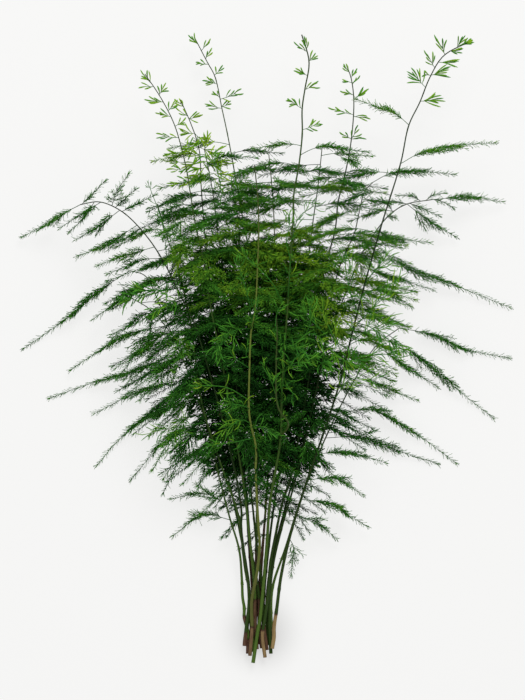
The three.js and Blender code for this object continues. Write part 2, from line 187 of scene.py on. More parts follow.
# Twigs of young fingers at the shoot tips: where each leaves its stem and ends in plan, how many fingers it
# bears, how far they fan out in degrees, and how long they are
TWIGS = {
    "tall_shoot": [
        (-77, 340, -81, 344, 5, 45, 9), (-73, 335, -68, 341, 3, 30, 8), (-67, 326, -65, 330, 3, 35, 8),
        (-66, 319, -75, 320, 4, 35, 8), (-57, 307, -52, 312, 4, 50, 8), (-56, 297, -62, 299, 5, 50, 8),
        (-50, 281, -33, 287, 6, 45, 9), (-51, 282, -55, 286, 3, 50, 6), (-49, 270, -58, 272, 4, 30, 9),
        (-49, 271, -43, 273, 4, 35, 7)],
    "left_shoot": [
        (-127, 296, -131, 301, 5, 50, 9), (-125, 290, -132, 290, 3, 25, 9), (-117, 282, -114, 287, 5, 60, 8),
        (-115, 273, -123, 274, 5, 45, 9), (-107, 264, -101, 271, 5, 55, 8), (-107, 257, -114, 259, 5, 40, 9),
        (-100, 247, -93, 251, 4, 50, 8), (-98, 234, -114, 236, 6, 50, 9), (-92, 219, -105, 218, 6, 45, 9),
        (-92, 219, -83, 226, 5, 60, 10), (-86, 199, -98, 199, 5, 50, 8), (-86, 199, -77, 206, 5, 50, 10),
        (-89, 208, -101, 209, 5, 50, 9), (-84, 186, -97, 184, 6, 50, 11), (-84, 186, -74, 190, 6, 50, 10)],
    "left_third": [
        (-68, 221, -66, 230, 7, 60, 11), (-68, 215, -54, 222, 6, 50, 11), (-67, 213, -80, 216, 6, 50, 10),
        (-66, 206, -50, 208, 7, 55, 12), (-65, 203, -76, 199, 5, 45, 11), (-63, 196, -47, 194, 6, 50, 12),
        (-62, 190, -50, 183, 5, 50, 12)],
    "left_second": [
        (-91, 270, -95, 275, 4, 50, 8), (-84, 258, -79, 259, 5, 60, 9), (-86, 259, -93, 263, 3, 40, 8),
        (-77, 241, -85, 241, 6, 60, 10), (-77, 241, -69, 233, 5, 60, 9), (-72, 227, -82, 224, 6, 50, 11),
        (-72, 227, -60, 222, 6, 55, 10), (-69, 211, -80, 206, 6, 40, 12), (-69, 211, -55, 206, 6, 50, 12),
        (-66, 197, -75, 191, 5, 50, 10)],
    "centre_shoot": [
        (44, 330, 42, 338, 5, 35, 9), (44, 330, 38, 334, 3, 25, 8), (47, 319, 50, 322, 4, 50, 8),
        (44, 304, 37, 307, 5, 50, 8), (44, 288, 52, 292, 6, 50, 8), (40, 266, 29, 274, 8, 75, 8),
        (40, 243, 54, 249, 8, 70, 9)],
    "right_second": [
        (91, 308, 89, 311, 4, 35, 7), (95, 302, 97, 306, 3, 30, 8), (93, 297, 87, 299, 2, 15, 7),
        (96, 295, 99, 298, 3, 30, 7), (95, 284, 88, 286, 4, 45, 7), (97, 278, 105, 284, 6, 50, 9),
        (97, 261, 80, 266, 5, 35, 9), (98, 259, 106, 257, 4, 25, 12), (96, 234, 100, 240, 4, 40, 11),
        (94, 234, 88, 237, 3, 30, 7), (96, 234, 104, 234, 2, 15, 10)],
    "right_shoot": [
        (217, 335, 221, 337, 6, 40, 9), (210, 334, 214, 339, 5, 35, 11), (205, 328, 209, 328, 5, 40, 9),
        (197, 325, 194, 333, 5, 45, 12), (193, 316, 202, 316, 6, 35, 13), (185, 311, 179, 321, 6, 50, 10),
        (183, 302, 190, 304, 8, 55, 14), (182, 304, 176, 305, 2, 60, 6), (173, 290, 165, 299, 9, 75, 12),
        (169, 274, 180, 275, 8, 45, 15)],
}

# Young twigs with whorls of long soft strands: the stem that bears each, where it leaves that stem in plan,
# the points it passes, how many strands it bears, how long they are, and its radius
YOUNG = {
    "left_inner": [
        ([-96, 84], [[-124, 66, 112], [-148, 56, 112]], 34, 17, 0.85),
        ([-92, 70], [[-112, 66, 110], [-134, 66, 112]], 28, 16, 0.85),
        ([-90, 60], [[-106, 52, 104], [-120, 44, 106]], 22, 15, 0.85),
        ([-102, 108], [[-108, 130, 76], [-118, 146, 80]], 12, 8, 0.5)],
    "left_outer": [
        ([-66, -80], [[-96, -84, 82], [-124, -88, 84]], 18, 18, 0.6),
        ([-62, -92], [[-84, -92, 76], [-108, -104, 78]], 12, 15, 0.6)],
    "left_arch": [
        ([-108, 90], [[-114, 140, 92], [-128, 180, 88]], 12, 9, 0.5)],
    "left_third": [
        ([-58, 160], [[-50, 182, 92], [-57, 206, 94]], 22, 15, 0.6),
        ([-54, 140], [[-40, 170, 92], [-28, 186, 94]], 18, 15, 0.6)],
    "front": [
        ([-18, -64], [[-26, -60, 120], [-38, -58, 126]], 16, 16, 0.6),
        ([-16, -80], [[-28, -76, 118], [-44, -86, 124]], 18, 17, 0.6),
        ([-16, -84], [[-6, -84, 116], [8, -90, 120]], 14, 14, 0.6),
        ([-13, -96], [[-34, -100, 112], [-60, -104, 112]], 16, 15, 0.6),
        ([-18, -54], [[-44, -40, 122], [-72, -38, 124]], 14, 16, 0.6),
        ([-18, -10], [[-22, -4, 124], [-20, 4, 130]], 8, 10, 0.5),
        ([-18, -20], [[-36, -6, 128], [-42, 6, 134]], 10, 14, 0.6),
        ([-16, 24], [[-14, 38, 130], [-10, 52, 138]], 16, 11, 0.6),
        ([-17, 30], [[-20, 60, 134], [-30, 92, 142]], 12, 13, 0.6)],
    "centre_shoot": [
        ([16, -96], [[24, -78, 112], [13, -62, 122], [11, -13, 134], [12, 16, 138], [10, 34, 142],
                     [14, 46, 146]], 24, 13, 0.5),
        ([18, -24], [[20, 6, 138], [31, 5, 150]], 20, 21, 0.6),
        ([17, -40], [[24, -17, 136], [36, -12, 152]], 26, 23, 0.6),
        ([17, -52], [[20, -38, 132], [30, -47, 142]], 9, 12, 0.5),
        ([16, -70], [[4, -30, 126], [-4, -17, 134]], 10, 11, 0.5),
        ([21, 12], [[40, 14, 120], [48, 30, 134], [48, 48, 142]], 14, 16, 0.8),
        ([21, 12], [[54, 17, 124], [73, -1, 136], [88, -13, 138]], 26, 19, 0.6),
        ([22, 40], [[5, 76, 120], [-24, 104, 118]], 14, 13, 0.6),
        ([24, 56], [[26, 100, 124], [22, 118, 130], [26, 140, 134]], 20, 14, 0.6),
        ([28, 120], [[36, 146, 112], [52, 158, 110]], 14, 13, 0.6)],
    "right_shoot": [
        ([80, -40], [[96, -8, 122], [134, -4, 118]], 34, 22, 0.7),
        ([76, -52], [[94, -30, 116], [114, -32, 112]], 22, 20, 0.7),
        ([88, -10], [[74, 14, 126], [60, 44, 130]], 24, 20, 0.6),
        ([92, 10], [[108, 20, 120], [130, 30, 116]], 26, 20, 0.65),
        ([90, 0], [[62, 20, 128], [44, 40, 132]], 20, 18, 0.6),
        ([96, 24], [[114, 44, 122], [138, 66, 120]], 28, 22, 0.7),
        ([100, 44], [[90, 70, 124], [86, 96, 128]], 24, 18, 0.6),
        ([108, 72], [[116, 84, 116], [128, 96, 118]], 22, 19, 0.7)],
    "right_third": [
        ([70, 40], [[84, 56, 94], [104, 60, 102]], 20, 18, 0.6)],
}

# The outline of the dense foliage in plan, at these heights up the bunch: its left edge and its right edge
OUTLINE_Y = [-230, -200, -150, -100, -50, 0, 50, 100, 150, 200, 250, 280]
OUTLINE_LEFT = [-44, -70, -96, -140, -164, -172, -176, -170, -150, -116, -70, -60]
OUTLINE_RIGHT = [44, 62, 92, 114, 134, 150, 162, 148, 130, 122, 98, 60]

# How far the tips hang, in degrees below the level of the photograph, up the bunch on the left and the right
HANG_Y = [-220, -120, 0, 120, 250]
HANG_LEFT = [58, 44, 32, 25, 8]
HANG_RIGHT = [50, 36, 22, 10, 4]

# Patches of paler or darker green: x, y, reach, and how much paler. The darker patch in the middle, at
# (14, -40), is painted shade where the bunch is densest
PATCHES = [
    (100, 10, 46, 0.12), (80, 74, 50, 0.08), (-85, 225, 45, 0.2), (40, 150, 34, 0.08), (110, 60, 55, 0.08),
    (14, -40, 62, -0.17), (10, -110, 50, 0.06), (-70, 22, 50, -0.02), (120, 265, 40, 0.2),
    (200, 225, 60, 0.14), (200, 165, 60, 0.08), (-20, 100, 60, 0.14), (40, 110, 50, 0.1),
]

# How far apart a stem's inner sprays leave it, up the bunch
CROWD_Y = [-220, -130, -80, 60, 140, 200, 260]
CROWD = [44, 22, 16.5, 12.5, 11.6, 10.8, 13.5]

# Places in plan that few inner sprays cross, where the ground shows between the bands: x, y, reach
CLEARINGS = [
    (-134, 50, 13), (-152, -62, 20), (-158, 8, 12), (-122, -112, 20), (104, 150, 22), (130, 88, 12),
    (124, 18, 12), (112, -58, 20), (98, -132, 24), (-86, -160, 24), (0, -185, 26),
]

# The stems that show in front of the foliage, and how far below them the sprays of other stems pass
SHOWN_STEMS = ["left_arch", "right_shoot", "front", "centre_shoot"]
PASSING = 14

# Small side fronds at the ends of the two arching stems: where they leave the stem and the points they pass
SIDE_FRONDS = {
    "left_arch": [
        ([-204, 162], [[-194, 172, 56], [-180, 186, 60]]),
        ([-168, 157], [[-158, 166, 66], [-145, 177, 70]]),
        ([-160, 153], [[-143, 162, 66], [-124, 171, 70]]),
        ([-190, 165], [[-203, 146, 58], [-217, 133, 50]]),
        ([-140, 134], [[-156, 124, 72], [-176, 117, 66]]),
    ],
    "right_arch": [
        ([157, 163], [[142, 166, 44], [122, 162, 46]]),
        ([172, 166], [[162, 172, 44], [148, 172, 46]]),
        ([160, 164], [[175, 158, 38], [191, 151, 32]]),
        ([186, 168], [[196, 166, 36], [207, 160, 30]]),
        ([178, 167], [[186, 173, 42], [197, 175, 42]]),
        ([141, 154], [[134, 164, 44], [112, 168, 46]]),
    ],
}

# The bare twig in front of the middle: where it leaves its stem, the points it passes, and its radii
BARE_TWIG_STEM = "centre_shoot"
BARE_TWIG = ([16, -96], [[24, -78, 112], [13, -62, 122], [11, -13, 134], [12, 16, 138], [11, 38, 142]])
BARE_TWIG_RADIUS = (1.1, 0.7)

# The stems that also bear dark sprays low in the middle of the bunch, whose dark green is painted shade
DEEP_STEMS = ["back_inner", "back_centre", "back_right", "tall_shoot"]

# Dry sleeves and swollen butts by stem: from and to along it, the greatest radius and where it is, and how
# dry, from dark brown (0.4) over reddish (0.5) to straw (1)
SLEEVES = {
    "right_shoot": [(0, 42, 2.3, 15, 0.9)], "left_arch": [(0, 19, 2.5, 4, 0.5)],
    "left_outer": [(0, 20, 2.1, 6, 0.5), (33, 47, 2.2, 41, 0.52)], "front": [(0, 36, 2.1, 15, 0.66)],
    "left_shoot": [(0, 60, 1.9, 20, 0.56)], "left_second": [(0, 60, 2.1, 16, 0.46)],
    "left_third": [(0, 36, 2.3, 12, 0.5)], "right_second": [(0, 34, 2.0, 8, 0.8)],
    "back_left": [(9, 16, 2.3, 12, 0.5)], "back_right": [(0, 50, 2.1, 16, 0.46)],
    "back_inner": [(0, 120, 2.1, 30, 0.44)], "tall_shoot": [(0, 120, 2.0, 40, 0.42)],
    "back_centre": [(0, 150, 2.1, 50, 0.42)],
}

# How thick each stem looks beside the part's stem, above its lowest part
THICKNESS = {
    "centre_shoot": 1.1, "front": 1.0, "right_shoot": 0.94, "right_second": 0.92,
    "left_arch": 0.9, "left_inner": 0.88,
}
USUAL_THICKNESS = 0.82
BUTT_THICKNESS = 1.26

# The upper sprays, young ones that rise towards the camera: how many strands each bears and how much paler it
# is, and for all of them how long a strand is, a spray's radius, and how far its tip is lowered
UPPER = [(44, -0.08), (60, -0.06), (34, -0.26), (56, -0.02)]
UPPER_STRAND = 17
UPPER_RADIUS = 0.6
UPPER_LOWERED = 22

# How pale the fingers at the shoot tips are
FINGER_TONE = {"left_third": 0.68, "left_second": 0.66, "left_shoot": 0.6}
USUAL_FINGER_TONE = 0.56

# How strongly the ground glows, and the painted shade on it at the cut ends, a soft painted shadow: its
# middle in plan, its reach, and the glow at its middle
GROUND_GLOW = 0.77
SHADE_MIDDLE = (-6, -318)
SHADE_REACH = 62
SHADE_GLOW = 0.56

LOWEST = 0.25

# How wide a needle's tip is beside its base
BLUNTNESS = 0.6


def lerp(a, b, t):
    return a + (b - a) * t


def ease(t):
    return t * t * (3 - 2 * t)


def unit(v):
    return v / np.maximum(np.linalg.norm(v, axis=-1, keepdims=True), 1e-9)


def seeded(name):
    return np.random.default_rng(list(name.encode()))


def smooth_line(points, count):
    """Evenly spaced places on a centripetal Catmull-Rom curve through the points."""
    p = np.asarray(points, float)
    p = np.vstack([2 * p[0] - p[1], p, 2 * p[-1] - p[-2]])
    step = np.sqrt(np.linalg.norm(np.diff(p, axis=0), axis=1))
    t = np.linspace(0, 1, 24, endpoint=False)[:, None]
    dense = []
    for i in range(1, len(p) - 2):
        before, here, after = step[i - 1], step[i], step[i + 1]
        a, b, c, d = p[i - 1:i + 3]
        leave = (b - a) / before - (c - a) / (before + here) + (c - b) / here
        arrive = (c - b) / here - (d - b) / (here + after) + (d - c) / after
        leave, arrive = leave * here, arrive * here
        dense.append(b + leave * t + (3 * (c - b) - 2 * leave - arrive) * t**2
                     + (2 * (b - c) + leave + arrive) * t**3)
    dense = np.vstack([*dense, p[-2:-1]])
    return evenly(dense, count)


def distances(line):
    """How far each place of a line is from its start, along it."""
    return np.concatenate([[0], np.cumsum(np.linalg.norm(np.diff(line, axis=0), axis=1))])


def length_of(line):
    return float(np.linalg.norm(np.diff(line, axis=0), axis=1).sum())


def evenly(line, count):
    reached = distances(line)
    at = np.linspace(0, reached[-1], count)
    return np.stack([np.interp(at, reached, line[:, k]) for k in range(3)], 1)


def stem_line(name):
    layer, crest, tip, _, _, route = STEMS[name]
    share = distances(route) / distances(route)[-1]
    rising = lerp(BUTT_HEIGHT[layer], crest, ease(np.minimum(share / CREST_SHARE, 1)))
    leaning = lerp(crest, tip, ease(np.maximum((share - CREST_SHARE) / (1 - CREST_SHARE), 0)))
    height = np.where(share < CREST_SHARE, rising, leaning)
    return smooth_line(np.column_stack([route, height]), 401)


def beside(line, place):
    """The place of a stem's line that is nearest to one in plan."""
    return line[int(np.argmin(np.hypot(line[:, 0] - place[0], line[:, 1] - place[1])))]


def grown(line, start, points, count):
    """A smooth line from a stem, where it passes a place in plan, through points."""
    return smooth_line([beside(line, start), *points], count)


def up_stem(line, y):
    """The place of a stem's line at a distance up the bunch."""
    return line[int(np.argmin(np.abs(line[:, 1] - y)))]


class Mesh:
    """Gathers closed bodies. Each vertex has a tone, from dark to pale green, and a share along its body."""

    def __init__(self):
        self.parts = []
        self.count = 0

    def add(self, verts, tris, tone, along, uv):
        self.parts.append((verts, tris + self.count, tone, along, uv))
        self.count += len(verts)

    def needles(self, base, tip, radius, tone):
        """Bodies of four faces: an edge across the base and a shorter one across the tip, at right angles."""
        n = len(base)
        if n == 0:
            return
        along = unit(tip - base)
        side = unit(np.cross(along, [0.31, 0.87, 0.38]))
        other = np.cross(along, side)
        wide = side * radius
        narrow = other * radius * BLUNTNESS
        verts = np.stack([base - wide, base + wide, tip - narrow, tip + narrow], 1).reshape(-1, 3)
        faces = np.array([[0, 3, 1], [0, 1, 2], [0, 2, 3], [1, 3, 2]])
        tris = (faces[None] + 4 * np.arange(n)[:, None, None]).reshape(-1, 3)
        tone = np.broadcast_to(tone, n)
        spread = np.array([-0.02, 0.02, -0.012, 0.012])
        rise = np.array([0.0, 0.0, 1.0, 1.0])
        corner_u = (np.clip(tone, 0.03, 0.97)[:, None, None] + spread[faces][None]).reshape(-1)
        corner_v = np.broadcast_to(rise[faces][None], (n, 4, 3)).reshape(-1)
        self.add(verts, tris, np.repeat(tone, 4), np.tile(rise, n), np.column_stack([corner_u, corner_v]))

    def tubes(self, lines, radii, sides, tone, unrolled=False):
        """Closed round bodies along lines of the same number of places."""
        n, k, _ = lines.shape
        along = unit(np.gradient(lines, axis=1))
        chord = np.abs(unit(lines[:, -1] - lines[:, 0]))
        fixed = np.eye(3)[np.argmin(chord, axis=1)][:, None]
        side = unit(np.cross(along, fixed))
        other = np.cross(along, side)
        turn = (np.arange(sides) + 0.5) * 2 * math.pi / sides
        ring = lines[:, :, None] + radii[:, :, None, None] * (
            side[:, :, None] * np.cos(turn)[:, None] + other[:, :, None] * np.sin(turn)[:, None])
        verts = ring.reshape(-1, 3)
        i, j = np.meshgrid(np.arange(k - 1), np.arange(sides), indexing="ij")
        i, j = i.ravel(), j.ravel()
        rows = np.concatenate([np.stack([i, i, i + 1], 1), np.stack([i, i + 1, i + 1], 1)])
        cols = np.concatenate([np.stack([j, j + 1, j + 1], 1), np.stack([j, j + 1, j], 1)])
        fan = np.arange(1, sides - 1)
        zero = np.zeros_like(fan)
        rows = np.concatenate([rows, np.zeros((len(fan), 3), int), np.full((len(fan), 3), k - 1)])
        cols = np.concatenate([cols, np.stack([zero, fan + 1, fan], 1), np.stack([zero, fan, fan + 1], 1)])
        local = rows * sides + cols % sides
        tris = (local[None] + k * sides * np.arange(n)[:, None, None]).reshape(-1, 3)
        share = np.linspace(0, 1, k)
        tones = np.broadcast_to(tone.reshape(n, -1), (n, k))
        along_share = np.broadcast_to(share, (n, k))
        if unrolled:
            corner_u = np.broadcast_to((cols / sides)[None], (n, *cols.shape))
        else:
            corner_u = np.clip(tones, 0.03, 0.97)[:, rows] + 0.04 * (cols / sides - 0.5)[None]
        corner_v = np.broadcast_to(share[rows][None], (n, *rows.shape))
        self.add(verts, tris, np.repeat(tones.ravel(), sides), np.repeat(along_share.ravel(), sides),
                 np.column_stack([corner_u.ravel(), corner_v.ravel()]))

    def tube(self, line, radii, sides, tone, **settings):
        """One such body, from one radius at its base to another at its tip."""
        self.tubes(line[None], np.linspace(*radii, len(line))[None], sides, np.array([tone]), **settings)

    def piece(self, name, material, slot, *nodes):
        verts, tris, tone, along, uv = (np.concatenate(values) for values in zip(*self.parts))
        verts = above_surface(verts) * MM
        mesh = bpy.data.meshes.new(name)
        mesh.vertices.add(len(verts))
        mesh.vertices.foreach_set("co", verts.astype(np.float32).ravel())
        mesh.loops.add(3 * len(tris))
        mesh.loops.foreach_set("vertex_index", tris.astype(np.int32).ravel())
        mesh.polygons.add(len(tris))
        mesh.polygons.foreach_set("loop_start", np.arange(0, 3 * len(tris), 3, dtype=np.int32))
        mesh.polygons.foreach_set("use_smooth", np.ones(len(tris), bool))
        mesh.uv_layers.new(name="OFBake").data.foreach_set("uv", uv.astype(np.float32).ravel())
        for label, values in (("tone", tone), ("along", along)):
            mesh.attributes.new(label, "FLOAT", "POINT").data.foreach_set("value", values.astype(np.float32))
        mesh.update(calc_edges=True)
        mesh.materials.append(material)
        piece = bpy.data.objects.new(name, mesh)
        bpy.context.scene.collection.objects.link(piece)
        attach(piece, "root")
        if nodes:
            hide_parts(*nodes)


def above_surface(points):
    """Presses what would reach under the surface flat onto it."""
    softness = 1.2
    height = points[:, 2] - LOWEST
    pressed = softness * np.logaddexp(0, height / softness)
    points = points.copy()
    points[:, 2] = LOWEST + np.where(height > 8 * softness, height, pressed)
    return points


def turned(start, end, angle):
    """Directions turned from one towards another by each angle."""
    return start * np.cos(angle)[:, None] + end * np.sin(angle)[:, None]


def across_each(along, turn):
    """A direction across each given one, turned about it."""
    side = unit(np.cross(along, [0.42, 0.31, 0.85]))
    return turned(side, np.cross(along, side), turn)


def for_each(value, places, each):
    """A value for every needle, from one for all places or one for each place."""
    return np.repeat(np.broadcast_to(value, places), each)


def needle_tufts(mesh, rng, places, along, each, length, lean, radius, tone):
    """Needles round an axis at each place, leaning towards its tip."""
    n = len(places) * each
    base = np.repeat(places, each, 0)
    axis = np.repeat(along, each, 0)
    first = rng.uniform(0, 2 * math.pi, len(places))
    turn = np.repeat(first, each) + np.tile(np.arange(each) * 2 * math.pi / each, len(places))
    turn += rng.normal(0, 0.35, n)
    angle = np.radians(rng.normal(lean, 12, n))
    size = for_each(length, len(places), each) * rng.uniform(0.7, 1.3, n)
    tip = base + turned(axis, across_each(axis, turn), angle) * size[:, None]
    tones = for_each(tone, len(places), each) + rng.normal(0, 0.035, n)
    mesh.needles(base, tip, radius, tones)


def along_line(line, at):
    """Places and directions at shares of a line."""
    spots = np.asarray(at) * (len(line) - 1)
    low = np.clip(spots.astype(int), 0, len(line) - 2)
    part = (spots - low)[:, None]
    places = line[low] * (1 - part) + line[low + 1] * part
    return places, unit(line[low + 1] - line[low])


# How a mature spray is built: its needles' length, the spacing of their tufts and of its branchlets, the
# longest branchlet as a share of the spray and in millimetres, a needle's radius, and how far branchlets lean
Build = namedtuple("Build", "needle pitch branchlets wide widest radius angle")
FULL = Build(7.0, 2.9, 3.6, 0.34, 27, 0.46, 32)
INNER = Build(7.6, 3.2, 3.6, 0.32, 30, 0.52, 34)
SPARSE = Build(6.6, 2.8, 8.5, 0.34, 18, 0.40, 44)
LOW = Build(7.0, 3.2, 5.0, 0.42, 22, 0.46, 46)
DEEP = Build(11, 5.0, 6.0, 0.40, 36, 1.3, 50)

# Needles on branchlets, and those on a spray's middle line
NEEDLES_TO_A_TUFT = 3
NEEDLE_LEAN = 26
TAIL_LEAN = 36
TAIL_PITCH = 2.8
TAIL_RADIUS = 0.42

# How thick a spray's middle line and its branchlets are, at the base and at the tip
MIDDLE_RADIUS = (0.5, 0.24)
BRANCHLET_RADIUS = (0.28, 0.13)

# The shortest inner spray that is built, the heights that their middle lines keep to, and how far in degrees
# sprays roll about their own line, in the bunch, at its outside and deep in it
SHORTEST = 24
INNER_LOWEST = 3
HIGHEST = 156
DEEP_HEIGHT = 60
INNER_ROLL = 11
OUTER_ROLL = 9
DEEP_ROLL = 40


def spray(mesh, rng, line, across, build, tone, stalk, leafy=0.64):
    """A flat, feathery spray along a line. Its branchlets lie to both sides, along across."""
    length = length_of(line)
    line = evenly(line, max(8, int(length / 5)))
    mesh.tube(line, MIDDLE_RADIUS, 4, tone - 0.2)
    longest = min(build.wide * length, build.widest)
    shares = np.arange(stalk, leafy, build.branchlets / length)
    shares = shares + rng.uniform(-0.35, 0.35, len(shares)) * build.branchlets / length
    side = rng.choice([-1.0, 1.0])
    branches, tones = [], []
    for share in shares:
        side = -side
        rise = min(1.0, 0.5 + max(0.0, share - stalk) / 0.1)
        fall = 1 - 0.7 * max(0.0, share - stalk) / (leafy - stalk)
        reach = longest * rise * fall * rng.uniform(0.6, 1.2)
        if reach < 3:
            continue
        place, forward = (v[0] for v in along_line(line, [share]))
        out = unit(across - forward * (across @ forward))
        lift = np.cross(forward, out) * rng.normal(0, 0.12)
        angle = math.radians(build.angle * lerp(1.1, 0.8, share) + rng.normal(0, 7))
        heading = unit(forward * math.cos(angle) + side * out * math.sin(angle) + lift)
        steps = np.linspace(0, 1, 5)[:, None]
        bent = forward * 0.14 + np.array([0, -0.1, 0])
        branch = place + reach * (heading * steps + bent * steps**2)
        branches.append(branch)
        tones.append(tone + rng.normal(0, 0.035))
        inner = np.arange(0.1, 0.99, build.pitch / reach)
        places, heads = along_line(branch, inner)
        needle_tufts(mesh, rng, places, heads, NEEDLES_TO_A_TUFT, build.needle * lerp(1.0, 0.8, inner),
                     NEEDLE_LEAN, build.radius, tones[-1])
        if reach > 14 and build is FULL:
            twigs = np.arange(0.25, 0.8, 6.5 / reach)
            roots, heads = along_line(branch, twigs)
            flip = np.where(np.arange(len(twigs)) % 2, 1.0, -1.0)[:, None]
            plane = unit(np.cross(np.cross(forward, out), heads))
            aim = unit(heads + plane * flip * 0.7 + rng.normal(0, 0.12, (len(twigs), 3)))
            size = lerp(8.0, 4.5, twigs) * rng.uniform(0.8, 1.2, len(twigs))
            ends = roots + aim * size[:, None]
            mesh.needles(roots, ends, 0.2, tones[-1] - 0.1)
            for part in (0.35, 0.95):
                needle_tufts(mesh, rng, lerp(roots, ends, part), aim, 2, build.needle * 0.85, 34,
                             build.radius, tones[-1])
    if branches:
        lines = np.array(branches)
        radii = np.tile(np.linspace(*BRANCHLET_RADIUS, 5), (len(lines), 1))
        mesh.tubes(lines, radii, 3, np.array(tones) - 0.14)
    bare = np.arange(stalk + 0.04, 0.995, TAIL_PITCH / length)
    places, heads = along_line(line, bare)
    needle_tufts(mesh, rng, places, heads, 3, build.needle * lerp(0.95, 0.8, bare), TAIL_LEAN,
                 TAIL_RADIUS, tone - 0.02)
    end = np.repeat(line[-1:], 2, 0)
    needle_tufts(mesh, rng, end, np.repeat(unit(line[-1:] - line[-2:-1]), 2, 0), 3, build.needle * 0.8, 20,
                 build.radius, tone + 0.04)


def fingers(mesh, rng, base, tip, radius, tone, curve=0.08):
    """Soft young branchlets, club-shaped and a little curved."""
    steps = np.array([0, 0.28, 0.6, 0.86, 1.0])
    turn = rng.uniform(0, 2 * math.pi, len(base))
    size = np.linalg.norm(tip - base, axis=1)[:, None]
    bend = across_each(unit(tip - base), turn) * size * curve
    lines = base[:, None] + (tip - base)[:, None] * steps[:, None] + bend[:, None] * np.sin(
        steps * math.pi)[:, None]
    profile = np.array([0.38, 0.62, 1.0, 0.86, 0.2])
    mesh.tubes(lines, radius[:, None] * profile, 5, tone)


def finger_twig(mesh, rng, line, twig, tone):
    """A short bare twig that ends in a fan of plump fingers."""
    x, y, end_x, end_y, count, fan, size = twig
    root = beside(line, (x, y))
    reach = math.hypot(end_x - x, end_y - y)
    end = root + np.array([end_x - x, end_y - y, rng.uniform(-0.5, 0.7) * reach])
    mid = lerp(root, end, 0.55) + np.array([0, -0.06 * reach, 0])
    mesh.tube(evenly(np.array([root, mid, end]), 4), (0.42, 0.32), 4, 0.3)
    forward = unit(end - root)
    flat = unit(np.cross(forward, [0, 0, 1.0]))
    spot = np.linspace(-1, 1, count)
    angle = np.radians(spot * fan * 0.62 + rng.normal(0, 7, count))
    start = lerp(end, root, (0.9 * np.abs(spot) * rng.uniform(0.4, 1, count))[:, None])
    aim = unit(turned(forward, flat, angle) + np.array([0, 0, 1.0]) * rng.normal(0, 0.22, count)[:, None])
    lengths = size * 1.3 * rng.uniform(0.75, 1.1, count)
    fingers(mesh, rng, start, start + aim * lengths[:, None], rng.uniform(0.78, 1.0, count),
            rng.normal(tone, 0.06, count))


def young_spray(mesh, rng, line, count, size, thickness, paler=0.0):
    """A young twig with whorls of soft strands at its nodes, the fullest at its tip."""
    line = evenly(line, max(6, int(length_of(line) / 6)))
    tone = rng.uniform(0.43, 0.56) + paler
    mesh.tube(line, (thickness, 0.36), 5, tone - 0.14)
    at = rng.choice([0.36, 0.58, 0.8, 0.99], count, p=[0.16, 0.22, 0.28, 0.34])
    at = at + rng.uniform(-0.03, 0.01, count)
    places, heads = along_line(line, at)
    turn = np.arange(count) * 2.4 + rng.normal(0, 0.4, count)
    angle = np.radians(lerp(66, 34, at) + rng.normal(0, 14, count))
    aim = turned(heads, across_each(heads, turn), angle)
    lengths = size * rng.uniform(0.6, 1.35, count)
    tips = places + aim * lengths[:, None]
    radius = thickness * rng.uniform(0.75, 0.95, count)
    fingers(mesh, rng, places, tips, radius, rng.normal(tone, 0.07, count), 0.15)
    needle_tufts(mesh, rng, lerp(places, tips, 0.5), aim, 1, 5.0, 30, 0.34, tone)


def patch_tone(place):
    tone = 0.0
    for x, y, reach, paler in PATCHES:
        tone += paler * math.exp(-((place[0] - x)**2 + (place[1] - y)**2) / reach**2)
    return tone


def outwards(side, turn):
    """The way to the left (-1) or right (1), turned up from the surface."""
    return np.array([side * math.cos(turn), 0, math.sin(turn)])


def inner_line(root, heading, length, rise, hang):
    """A middle line that leaves its stem steeply, then levels out and hangs towards its tip."""
    steps = 16
    t = np.minimum(np.linspace(0, 1, steps) / 0.55, 1)
    angle = np.radians(lerp(rise, -hang, ease(t)))
    moves = turned(heading, np.array([0, 1.0, 0]), angle)
    return np.vstack([root, root + np.cumsum(moves * length / steps, axis=0)])


def inner_sprays(mesh, rng, name, lines):
    line = lines[name]
    low, high = STEMS[name][4]
    y = low + rng.uniform(0, 12)
    side = rng.choice([-1.0, 1.0])
    while y < high:
        side = -side
        root = up_stem(line, y)
        turn = math.radians(rng.normal(0, 24))
        if rng.uniform() < 0.2 and name not in SHOWN_STEMS:
            turn = math.radians(rng.uniform(50, 110))
        if root[2] < 40:
            turn = abs(turn) * 0.8
        elif name in SHOWN_STEMS:
            turn = -abs(turn)
        heading = outwards(side, turn)
        outline = OUTLINE_RIGHT if side > 0 else OUTLINE_LEFT
        room = abs(np.interp(y - 20, OUTLINE_Y, outline) - root[0]) + 4
        young = 1 - 0.5 * max(0.0, (y - low) / (high - low) - 0.7) / 0.3
        length = min(rng.uniform(84, 140) * young, room / max(abs(heading[0]), 0.35))
        if y < -110:
            length *= rng.uniform(0.45, 0.9)
        hang = np.interp(y, HANG_Y, HANG_RIGHT if side > 0 else HANG_LEFT) * rng.uniform(0.7, 1.25)
        y += np.interp(y, CROWD_Y, CROWD) * rng.uniform(0.7, 1.3)
        if length < SHORTEST:
            continue
        rise = rng.uniform(8, 30) if side > 0 else rng.uniform(0, 20)
        path = inner_line(root, heading, length, rise, hang)
        too_high = path[:, 2].max() - HIGHEST
        if too_high > 0:
            path[:, 2] -= too_high * ease(np.linspace(0, 1, len(path)))
        if rng.uniform() < crossed(path):
            continue
        pass_under(path, name, lines)
        across = rolled(rng, heading, INNER_ROLL)
        tone = 0.4 + patch_tone(path[8]) + rng.normal(0, 0.05)
        # Higher sprays are painted paler and lower ones darker: painted light and shade by height in the
        # bunch.
        tone += 0.1 * (path[8][2] - 70) / 70
        style = SPARSE if y < -105 else INNER
        spray(mesh, rng, path, across, style, tone, stalk=rng.uniform(0.16, 0.28))


def crossed(path):
    """How surely a middle line is left out for crossing a clearing."""
    outer = path[6:]
    return max(float(np.exp(-((outer[:, 0] - x)**2 + (outer[:, 1] - y)**2) / reach**2).max())
               for x, y, reach in CLEARINGS) * 0.9


